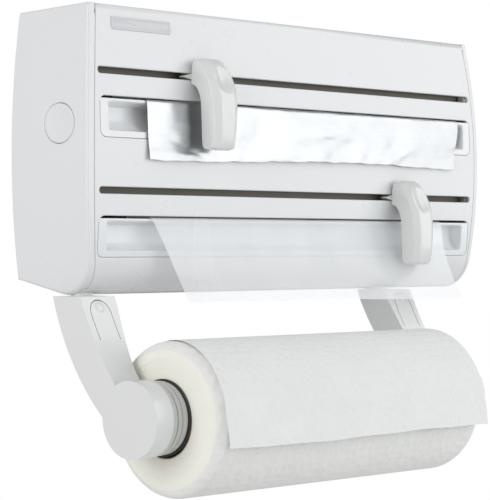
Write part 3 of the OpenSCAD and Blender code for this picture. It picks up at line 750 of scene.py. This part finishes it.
def cover_geometry():
    """The front cover with its slots, windows, hinge bead and end ribs."""
    heights = spread(0.0, V_END, 4.0)
    across = 58
    edge_x = [seam_x(on_front(v)[1]) - SEAM_GAP for v in heights]
    outer = [(-edge_x[0] + 2 * edge_x[0] * k / across, 0.0) for k in range(across)]
    outer += list(zip(edge_x, heights))[:-1]
    outer += [(edge_x[-1] - 2 * edge_x[-1] * k / across, V_END) for k in range(across)]
    outer += [(-x, v) for x, v in list(zip(edge_x, heights))[:0:-1]]
    slot_r = SLOT_H / 2
    holes = [hole_outline(z - slot_r, z + slot_r, SLOT_L / 2, slot_r - 0.01) for z in SLOT_Z]
    holes += [hole_outline(z - WINDOW_H, z, WINDOW_L / 2, 4.5) for z in WINDOW_Z]
    r = 0.7
    re = 0.35
    us = spread(-176, 176, 7.5)
    vs = spread(2.0, LEN_CORNER, 2.6) + spread(LEN_CORNER + 3, V_END - 2, 4.5)
    co, tris, loops = triangulate(grow(outer, -re), [grow(h, r) for h in holes], us, vs)
    b = Builder()
    top = b.ring([lift(u, v) for u, v in co])
    b.f += [[top[i] for i in t] for t in tris]
    under = b.ring([lift(u, v, WALL) for u, v in co])
    b.f += [[under[i] for i in reversed(t)] for t in tris]

    def rim(loop, outline, rad, sign):
        prev = [top[i] for i in loop]
        for k in (1, 2, 3):
            t = math.radians(90 * k / 3)
            g = rad * (1 - math.sin(t)) * sign
            d = rad * (1 - math.cos(t))
            cur = b.ring([lift(u, v, d) for u, v in grow(outline, g)])
            b.bridge(prev, cur)
            prev = cur
        cur = b.ring([lift(u, v, WALL) for u, v in grow(outline, 0)])
        b.bridge(prev, cur)
        b.bridge(cur, [under[i] for i in loop])

    rim(loops[0], outer, re, -1)
    for loop, h in zip(loops[1:], holes):
        rim(loop, h, r, 1)
    # hinge bead along the top
    end = seam_x(BEAD_Z) - SEAM_GAP
    bore, deep, soft = 1.55, 9, 0.3
    half = [(end - soft, BEAD_R), (end, BEAD_R - soft), (end, bore), (end - deep, bore)]
    b.lathe([(-x, q) for x, q in reversed(half)] + half, BEAD_Y, BEAD_Z, 48)
    # end ribs with the latch notch
    lining = [
        (y, z) for y, z, side in body_outline(WALL - 0.2)
        if side in (2, 3) and -139 < z < BEAD_Z - 0.5 and y < COVER_BACK
    ]
    rib_top, notch_y, notch = 1.7, -55.6, 3
    bite = BUTTON_R + 2.1
    a0 = math.degrees(math.acos((BUTTON[0] - COVER_BACK) / bite))
    a1 = math.degrees(math.asin(notch / bite))
    outline = [(COVER_BACK, lining[0][1])] + lining
    outline += [(BEAD_Y, lining[-1][1]), (BEAD_Y, rib_top), (COVER_BACK, rib_top)]
    outline += arc(*BUTTON, bite, 180 - a0, 180 - a1, 6)
    outline += [(notch_y, BUTTON[1] + notch), (notch_y, BUTTON[1] - notch)]
    outline += arc(*BUTTON, bite, 180 + a1, 180 + a0, 6)
    for s in (-1, 1):
        a = b.ring([(s * (seam_x(z) - SEAM_GAP - 2), y, z) for y, z in outline])
        c = b.ring([(s * (seam_x(z) - SEAM_GAP), y, z) for y, z in outline])
        b.bridge(a, c)
        b.cap(a)
        b.cap(c, True)
    v, f = fix_normals(b.v, b.f)
    # exact normals on the broad outer face, the rest worked out from the mesh
    normals = [(0.0, *on_front(q)[2:]) for _, q in co] + [(0.0, 0.0, 0.0)] * (len(v) - len(co))
    return v, f, normals


cover_v, cover_f, cover_n = cover_geometry()
build("front_cover_skin", cover_v, cover_f, SHELL, "cover", "shell", ["front_cover"],
      angle=38, normals=cover_n)

# ------------------------------------------------------------------ window inserts
def smooth(t):
    """A soft step from 0 to 1."""
    t = min(max(t, 0.0), 1.0)
    return t * t * (3 - 2 * t)


def tray_geometry(i):
    """Border flush with the cover, round-backed recess with soft ends, ledge below."""
    z_top = WINDOW_Z[i] - SLIT_H
    z_bot = WINDOW_Z[i] - WINDOW_H
    v0, v1 = v_of(z_bot) + 0.25, v_of(z_top)
    x = WINDOW_L / 2 - 0.25
    xr = x - 6.2
    height = v1 - v0
    ledge, lip, corner = 3.6, 1.3, 4.2
    drop = 0.3

    def depth(u, w):
        side = smooth((xr - abs(u)) / 4.5)
        t = (w - lip) / (height - lip - ledge)
        if t <= 0 or t >= 1:
            return drop
        rise = smooth(t / 0.15)
        curve = math.sqrt(max(1 - max((t - 0.25) / 0.75, 0.0) ** 2, 0.0))
        return drop + 8.6 * rise * curve * side

    ws = [0, 0.5, 0.9, lip, lip + 0.15, lip + 0.4]
    ws += [lip + 0.8 + 0.4 * k for k in range(8)]
    deep = height - ledge
    ws += spread(ws[-1] + 0.8, deep - 2.0, 0.9)
    ws += [deep - d for d in (1.6, 1.2, 0.85, 0.55, 0.3, 0.12, 0)]
    ws += [deep + 0.2] + spread(deep + 0.8, height - 0.3, 0.7) + [height]
    us = [x - corner * (1 - math.cos(math.radians(a))) for a in (90, 78, 66, 54, 42, 30, 18, 8, 0)]
    us = spread(0, xr - 6.0, 5.0)[:-1] + spread(xr - 6.0, x - corner - 0.5, 0.45) + us
    us = sorted(set(round(u, 5) for u in us))
    us = [-u for u in reversed(us) if u > 0] + us
    b = Builder()

    def low(u):
        e = abs(u) - (x - corner)
        return height - (corner - math.sqrt(max(corner ** 2 - e ** 2, 0.0)) if e > 0 else 0.0)

    grid = [b.ring([lift(u, v1 - min(w, low(u)), depth(u, min(w, low(u)))) for w in ws]) for u in us]
    for p, q in zip(grid, grid[1:]):
        b.bridge(p, q, closed=False)
    border = [(us[k], min(ws[-1], low(us[k])), grid[k][-1]) for k in range(len(us))]
    border += [(us[-1], min(w, low(us[-1])), grid[-1][k]) for k, w in reversed(list(enumerate(ws)))]
    border += [(us[k], 0.0, grid[k][0]) for k in reversed(range(len(us)))]
    border += [(us[0], min(w, low(us[0])), grid[0][k]) for k, w in enumerate(ws)]
    prev = [g for _, _, g in border]
    behind = WALL + 0.02
    cur = b.ring([lift(u, v1 - w, behind) for u, w, _ in border])
    b.bridge(prev, cur)
    wide = [(u, w + (2.0 if w > height - 4.5 else 0.0)) for u, w, _ in border]
    flange = b.ring([lift(u, v1 - w, behind) for u, w in wide])
    b.bridge(cur, flange)
    back = face_y(z_top) + 11.5
    rear = b.ring([(u, back, on_front(v1 - w)[1]) for u, w in wide])
    b.bridge(flange, rear)
    b.cap(rear)
    bm = bmesh.new()
    vs = [bm.verts.new(v) for v in b.v]
    for f in b.f:
        bm.faces.new([vs[k] for k in dict.fromkeys(f)])
    bmesh.ops.remove_doubles(bm, verts=bm.verts, dist=0.001)
    bmesh.ops.recalc_face_normals(bm, faces=bm.faces)
    bm.verts.index_update()
    out = [tuple(v.co) for v in bm.verts], [[v.index for v in f.verts] for f in bm.faces]
    bm.free()
    return out


for i, name in enumerate(("upper_tray", "lower_tray")):
    tv, tf = tray_geometry(i)
    build(name + "_skin", tv, tf, TRAY, "cover", "shell", [name], angle=50)


# ------------------------------------------------------------------ cutter knobs
def stretch(four, per):
    """Points on the smooth curve from the second of four points up to the third."""
    out = []
    for k in range(per):
        t = k / per
        out.append(tuple(
            0.5 * (2 * b + (c - a) * t + (2 * a - 5 * b + 4 * c - d) * t * t
                   + (3 * b - a - 3 * c + d) * t ** 3)
            for a, b, c, d in zip(*four)
        ))
    return out


def smooth_loop(pts, per):
    """Closed curve through the points."""
    n = len(pts)
    out = []
    for i in range(n):
        out += stretch([pts[(i + k - 1) % n] for k in range(4)], per)
    return out


def table(x, xs, ys):
    return float(np.interp(x, xs, ys))


# The knob's side view as (y, z) from the slot on the cover's face: shank, crown, grip and back.
KNOB = [
    (-0.7, -4.4), (-0.7, 1.0), (-1.1, 5.5), (-1.9, 8.6), (-3.5, 10.6), (-6.0, 11.2), (-8.8, 10.3),
    (-11.3, 8.3), (-13.6, 5.7), (-15.9, 2.4), (-17.9, -1.2), (-19.6, -5.2), (-20.9, -9.8), (-21.8, -15.6),
    (-22.2, -22.4), (-22.1, -30.6), (-21.6, -36.6), (-21.0, -40.6), (-20.1, -42.8), (-18.4, -44.1),
    (-15.8, -44.4), (-12.6, -44.2), (-10.0, -43.4), (-8.8, -41.6), (-8.35, -37.6), (-8.2, -30.6),
    (-8.2, -20.6), (-7.9, -13.6), (-6.9, -10.2), (-5.2, -7.2), (-3.0, -5.4),
]
# How much each of these points belongs to the rounded front.
KNOB_FRONT = [0] * 3 + [0.12, 0.3, 0.5, 0.7, 0.88] + [1] * 10 + [0.9, 0.6, 0.35, 0.2, 0.1] + [0] * 8
PER = 4


def knob_geometry(i):
    """A sliding cutter's knob with its rounded front, thumb dent and shank."""
    loop = smooth_loop(KNOB, PER)
    pts = [(p[0], p[1]) for p in loop]
    nrm = outline_normals(pts)
    if sum(p[0] * m[0] + (p[1] + 16) * m[1] for p, m in zip([(a + 12, c) for a, c in pts], nrm)) < 0:
        nrm = [(-a, -c) for a, c in nrm]
    n = len(pts)
    front = np.interp(np.arange(n) / PER, np.arange(len(KNOB) + 1), KNOB_FRONT + KNOB_FRONT[:1])
    face = face_y(SLOT_Z[i])
    es = [0, 0.12, 0.35, 0.75, 1.3, 2.2, 3.2, 4.1, 4.8, 5.6, 6.6, 7.6, 8.7, 9.9, 11]
    f_in = [3.5, 3.1, 2.85, 2.6, 2.3, 1.75, 1.15, 0.62, 0.28, 0.08, 0, 0, 0, 0, 0]
    b_in = [0.8, 0.45, 0.2, 0.03, 0, 0, 0, 0, 0, 0, 0, 0, 0, 0, 0]
    rows = [(-(11 - e), e) for e in es] + [(11 - e, e) for e in reversed(es[:-1])]
    b = Builder()
    rings = []
    for x, e in rows:
        fi, bi = table(e, es, f_in), table(e, es, b_in)
        ring = []
        for (dy, dz), m, w in zip(pts, nrm, front):
            inset = fi * w + bi * (1 - w)
            scale = 1 - 0.13 * smooth(-dz / 40)
            rho = math.hypot((x - 0.5) / 8.4, (dz + 2.2) / 9.0)
            dent = 2.3 * (1 - rho ** 2) ** 1.2 if rho < 1 and w > 0.6 else 0.0
            inset += dent
            ring.append((CUTTER_X[i] + x * scale, face + dy - m[0] * inset, SLOT_Z[i] + dz - m[1] * inset))
        rings.append(b.ring(ring))
    for p, q in zip(rings, rings[1:]):
        b.bridge(p, q)
    b.cap(rings[0])
    b.cap(rings[-1], True)
    # the shank that runs in the slot, drawn out to a point at both ends
    ends = []
    for x, h in ((-15.5, 0.5), (-14.5, 0.75), (-11, 1.65), (11, 1.65), (14.5, 0.75), (15.5, 0.5)):
        section = ((-0.9, -h), (4.6, -h), (4.6, h), (-0.9, h))
        ends.append(b.ring([(CUTTER_X[i] + x, face + dy, SLOT_Z[i] + dz) for dy, dz in section]))
    for p, q in zip(ends, ends[1:]):
        b.bridge(p, q)
    b.cap(ends[0])
    b.cap(ends[-1], True)
    return fix_normals(b.v, b.f)


for i, name in enumerate(("upper_cutter", "lower_cutter")):
    kv, kf = knob_geometry(i)
    build(name + "_knob_skin", kv, kf, CUTTER, name, "cutter", [name + "_knob"], angle=42)

# ------------------------------------------------------------------ name plate
def plate_geometry():
    """A blank plate with a raised frame."""
    outline = rounded_rect(-162, -114, v_of(1.7), v_of(9.3), 1.2, 6, 3.0)
    steps = ((0.0, 0.05), (0.0, -0.55), (-0.12, -0.72), (-0.3, -0.78), (-1.05, -0.78), (-1.2, -0.7))
    b = Builder()
    prev = None
    for g, d in steps + ((-1.3, -0.5), (-1.5, -0.42)):
        cur = b.ring([lift(u, v, d) for u, v in grow(outline, g)])
        if prev:
            b.bridge(prev, cur)
        prev = cur
    b.cap(prev)
    back = b.ring([lift(u, v, 0.05) for u, v in outline])
    b.cap(back, True)
    b.bridge(back, list(range(len(outline))))
    return fix_normals(b.v, b.f)


pv, pf = plate_geometry()
build("name_plate_skin", pv, pf, PLATE, "cover", "plate", ["name_plate"], angle=40)

# ------------------------------------------------------------------ towel roll
def towel_geometry():
    """The winding: a roll with soft shoulders whose ends close over the card core."""
    x0, x1, r, core = TOWEL_X - 0.08, TOWEL_X + TOWEL_L + 0.08, TOWEL_R, CORE_R - 0.9
    edge, far, n = 10.5, 5.0, 128

    def shoulder(e):
        turns = [math.radians(a) for a in range(0, 91, 10)]
        return [(e * (1 - math.sin(t)) * 0.8, r - e * (1 - math.cos(t))) for t in turns]

    profile = [(x0 + 0.4, core), (x0 + 0.05, core + 0.4)]
    profile += [
        (x0 + 0.25 * abs(math.sin(k * 1.7)), core + 1 + (r - edge - core - 1) * k / 14)
        for k in range(15)
    ]
    profile += [(x0 + d, q) for d, q in reversed(shoulder(edge))]
    profile += [(x, r) for x in spread(x0 + edge, x1 - far, 12)[1:]]
    profile += [(x1 - d, q) for d, q in shoulder(far)]
    profile += [(x1, r - far - 0.3), (x1, core)]
    b = Builder()
    rings = b.lathe(profile, AXIS[0], ROLL_Z, n, False, False)
    b.bridge(rings[-1], rings[0])
    v, f = fix_normals(b.v, b.f)
    slots = []
    for face in f:
        cx = sum(v[k][0] for k in face) / len(face)
        slots.append(1 if cx < x0 + 1.2 or cx > x1 - 1.2 else 0)
    return v, f, slots


tv, tf, ts = towel_geometry()
build("towel_winding_skin", tv, tf, [PAPER, PAPER_END], "towel_roll", "paper", ["towel_winding"],
      angle=60, slots=ts)

# ------------------------------------------------------------------ button springs
for side, outer in (("left", 0), ("right", 1)):
    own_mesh(NODES[side + "_button_spring"])

# ------------------------------------------------------------------ plug rings
def ring_geometry(end):
    """A narrow black rubber ring beside the plug's end; its black also serves as painted shade for the gap
    between the collar and the roll's core.
    """
    b = Builder()
    r, bore = 21.95, 20.0
    profile = [(0.6, bore), (0.6, r - 0.25), (0.8, r), (1.3, r), (1.4, r - 0.25), (1.4, bore)]
    rings = b.lathe([(end + x, q) for x, q in profile], *AXIS, 96, False, False)
    b.bridge(rings[-1], rings[0])
    return fix_normals(b.v, b.f)


rv, rf = ring_geometry(ARM_X + 25.4)
build("left_ring_skin", rv, rf, RUBBER_AND_GAP_SHADE, "left_plug", "rubber", ["left_plug_ring"], angle=40)
build("right_ring_skin", *mirrored(rv, rf, ARM_MIRROR), RUBBER_AND_GAP_SHADE, "right_plug", "rubber", ["right_plug_ring"],
      angle=40)

# ------------------------------------------------------------------ roots of the latch tongues
def root_geometry():
    """A thin patch on the arm's curved front that closes the gap above the tongue."""
    cy, cz, r = -271.4, -60.1, 233.6
    x0, x1, front, back = ARM_X + 4.2, ARM_X + 20.8, 0.6, -0.06
    b = Builder()
    rings = []
    for z in (-178.8, -178.2, -177.6, -177.0):
        rings.append(b.ring([
            (x, cy + math.sqrt((r + d) ** 2 - (z - cz) ** 2), z)
            for x, d in ((x0, front), (x0, back), (x1, back), (x1, front))
        ]))
    for p, q in zip(rings, rings[1:]):
        b.bridge(p, q)
    b.cap(rings[-1])
    b.cap(rings[0], True)
    return fix_normals(b.v, b.f)


tv, tf = root_geometry()
build("left_latch_root", tv, tf, ARM, "housing", "arm", angle=40)
build("right_latch_root", *mirrored(tv, tf, ARM_MIRROR), ARM, "right_arm_set", "arm", angle=40)

# ------------------------------------------------------------------ loose sheets
def sheet_geometry(path, left, right, columns, ripple):
    """A grid over the path of (y, z) points; left and right give x for a share t of the path.

    ripple gives how far a point stands off the path and how far it is raised, from t, the
    share q across the sheet, and x.
    """
    lengths = [0.0]
    for p, q in zip(path, path[1:]):
        lengths.append(lengths[-1] + math.dist(p, q))
    total = lengths[-1]
    ys, zs = zip(*path)
    rows = [(s / total, table(s, lengths, ys), table(s, lengths, zs)) for s in spread(0, total, 1.1)]
    b = Builder()
    grid = []
    for k, (t, y, z) in enumerate(rows):
        _, ya, za = rows[max(k - 1, 0)]
        _, yb, zb = rows[min(k + 1, len(rows) - 1)]
        d = math.hypot(yb - ya, zb - za)
        ny, nz = (zb - za) / d, -(yb - ya) / d
        ring = []
        for c in range(columns + 1):
            q = c / columns
            x = left(t) + (right(t) - left(t)) * q
            off, down = ripple(t, q, x)
            ring.append((x, y + ny * off, z + nz * off + down))
        grid.append(b.ring(ring))
    for p, q in zip(grid, grid[1:]):
        b.bridge(p, q, closed=False)
    return b.v, b.f, total


def curve(pts):
    """Open smooth curve through the points."""
    before = tuple(2 * a - c for a, c in zip(pts[0], pts[1]))
    after = tuple(2 * a - c for a, c in zip(pts[-1], pts[-2]))
    ext = [before, *pts, after]
    out = []
    for i in range(len(ext) - 3):
        out += stretch(ext[i:i + 4], 6)
    return out + [tuple(pts[-1])]


def wave(x, *parts):
    """A sum of sines, each given by its height, width and phase."""
    return sum(a * math.sin(x / w + ph) for a, w, ph in parts)


# kitchen towel: over the front of the roll, a little off it towards the torn edge
towel_path = []
for a in range(80, 175, 3):
    r = table(a, [80, 110, 150, 172], [TOWEL_R + 0.08, TOWEL_R + 0.8, TOWEL_R + 1.7, TOWEL_R + 2.4])
    towel_path.append((AXIS[0] + r * math.cos(math.radians(a)), ROLL_Z + r * math.sin(math.radians(a))))
towel_path += [(-145.5, -221.0), (-146.6, -226.5), (-147.3, -231.5), (-147.7, -235.8)]


def towel_ripple(t, q, x):
    free = smooth((t - 0.75) / 0.25)
    start = min(t * 4, 1)
    off = 0.25 * wave(x, (1, 17, 0.4), (0.6, 7.3, 2)) * (0.3 * start + free) + 0.25 * start
    return off, free * 0.5 * wave(x, (1, 31, 1.0), (0.4, 9, 0.2))


def towel_left(t):
    return -150.8 - 7.8 * min(t / 0.8, 1) ** 0.7


def towel_right(t):
    return 78.0 + 0.3 * math.sin(t * 9)


sv, sf, length = sheet_geometry(towel_path, towel_left, towel_right, 120, towel_ripple)
towel_sheet = build("towel_sheet", sv, sf, TISSUE, "housing", "paper", ["towel_tail"], angle=0)

# foil: out of the upper slit, down over the insert and the cover below it
z0 = WINDOW_Z[0] - 0.75
y0 = face_y(z0)
foil_path = curve([
    (y0 + 8.5, z0 + 0.1), (y0 + 4.0, z0 + 0.1), (y0 + 0.8, z0), (y0 - 0.7, z0 - 0.9), (-61.3, z0 - 4.0),
    (-61.6, z0 - 12.0), (-61.9, z0 - 20.0), (-62.3, z0 - 25.0), (-62.9, z0 - 29.5), (-63.4, z0 - 33.8),
])


def foil_ripple(t, q, x):
    free = smooth((t - 0.28) / 0.5)
    crumple = wave(x, (0.05, 9, 0), (0.03, 4.1, 1.3)) * math.sin(t * 7 + x / 40)
    off = free * (0.5 * wave(x, (1, 42, 0.8), (0.35, 17, 2.2)) + 1.6 * crumple) + 0.3 * free
    cut_edge = -1.6 + 3.2 * smooth((x + 120) / 160) - 1.2 * smooth((x - 70) / 60)
    return off, smooth((t - 0.5) / 0.5) * (cut_edge + 0.2 * wave(x, (1, 6, 0), (0.7, 2.7, 1)))


def foil_left(t):
    return -138 + 0.6 * t


def foil_right(t):
    return 160 - 6 * smooth((t - 0.3) / 0.7)


sv, sf, length = sheet_geometry(foil_path, foil_left, foil_right, 200, foil_ripple)
foil_sheet = build("foil_sheet", sv, sf, FOIL, "cover", "foil", ["foil_tail"], angle=0)

# film: out of the lower slit and swinging forward at its free edge
z0 = WINDOW_Z[1] - 0.75
y0 = face_y(z0)
film_path = curve([
    (y0 + 8.5, z0 + 0.1), (y0 + 4.0, z0 + 0.1), (y0 + 0.8, z0), (y0 - 0.6, z0 - 0.9), (-61.5, z0 - 4.0),
    (-62.5, z0 - 12.0), (-64.6, z0 - 20.0), (-67.6, z0 - 28.0), (-71.4, z0 - 36.0), (-76.0, z0 - 44.5),
    (-80.6, z0 - 52.6),
])


def film_ripple(t, q, x):
    free = smooth((t - 0.2) / 0.8)
    lift_up = smooth((t - 0.3) / 0.7) * (3.4 - 2.4 * q)
    return free * 0.25 * wave(x, (1, 47, 0.5), (0.5, 21, 1.0)), free * 0.4 * wave(x, (1, 40, 2.2)) + lift_up


def film_left(t):
    return -122.6 - 11.9 * math.exp(-(4.2 * max(t - 0.1, 0.0)) ** 1.5)


def film_right(t):
    return 142 - 2 * t


sv, sf, length = sheet_geometry(film_path, film_left, film_right, 160, film_ripple)
film_sheet = build("film_sheet", sv, sf, FILM, "cover", "film", ["film_tail"], angle=0)

# ------------------------------------------------------------------ edges of the plain parts
for name in ("left_arm", "right_arm"):
    bevel(NODES[name], 1.1, 3, 35)
for name in ("left_arm_latch", "right_arm_latch"):
    bevel(NODES[name], 0.35, 2, 40)
for name in ("left_roll_plug", "right_roll_plug", "left_plug_ring", "right_plug_ring"):
    bevel(NODES[name], 0.35, 2, 40)
for name in (
    "bottom_rail", "back_shell", "upper_cutter_rail", "lower_cutter_rail", "left_roll_bracket",
    "right_roll_bracket",
):
    bevel(NODES[name], 0.25, 2, 40)

# ------------------------------------------------------------------ floor
far, floor_z = 4000, -1400
corners = [(-far, -far, floor_z), (far, -far, floor_z), (far, far, floor_z), (-far, far, floor_z)]
floor = build("floor", corners, [[0, 1, 2, 3]], FLOOR, None, angle=0)

# ------------------------------------------------------------------ camera and light
cam_data = bpy.data.cameras.new("camera")
cam_data.lens = 152.5
cam_data.sensor_width = 36
cam_data.sensor_fit = "AUTO"
cam_data.shift_y = -0.007
cam_data.clip_end = 50
camera = bpy.data.objects.new("camera", cam_data)
bpy.context.scene.collection.objects.link(camera)
camera.location = (-1.0041, -0.9472, -0.124)
camera.rotation_euler = (math.radians(90), 0, math.radians(-47))
bpy.context.scene.camera = camera


def area_light(name, place, target, size, power, colour=(1, 1, 1)):
    data = bpy.data.lights.new(name, "AREA")
    data.shape = "RECTANGLE"
    data.size, data.size_y = size
    data.energy = power
    data.color = colour
    ob = bpy.data.objects.new(name, data)
    bpy.context.scene.collection.objects.link(ob)
    ob.location = place
    d = Vector(target) - Vector(place)
    ob.rotation_euler = d.to_track_quat("-Z", "Y").to_euler()


MIDDLE = (0, 0, -0.1)
area_light("key", (1.3, -1.6, 0.5), MIDDLE, (2.1, 1.8), 21)
area_light("fill", (-1.9, -0.25, 0.35), MIDDLE, (1.4, 1.4), 18)
area_light("front", (0.5, -2.2, -0.1), MIDDLE, (1.6, 1.2), 6, (0.86, 0.95, 1.0))

world = bpy.data.worlds.new("studio")
bpy.context.scene.world = world
world.use_nodes = True
wt = world.node_tree
bg = wt.nodes["Background"]
bg.inputs["Color"].default_value = (1.0, 1.0, 1.0, 1)
bg.inputs["Strength"].default_value = 0.42
white = wt.nodes.new("ShaderNodeBackground")
white.inputs["Color"].default_value = (1, 1, 1, 1)
white.inputs["Strength"].default_value = 1.0
path = wt.nodes.new("ShaderNodeLightPath")
mix = wt.nodes.new("ShaderNodeMixShader")
wt.links.new(path.outputs["Is Camera Ray"], mix.inputs["Fac"])
wt.links.new(bg.outputs["Background"], mix.inputs[1])
wt.links.new(white.outputs["Background"], mix.inputs[2])
wt.links.new(mix.outputs["Shader"], wt.nodes["World Output"].inputs["Surface"])

bpy.context.scene.view_settings.view_transform = "Standard"
bpy.context.scene.view_settings.look = "None"
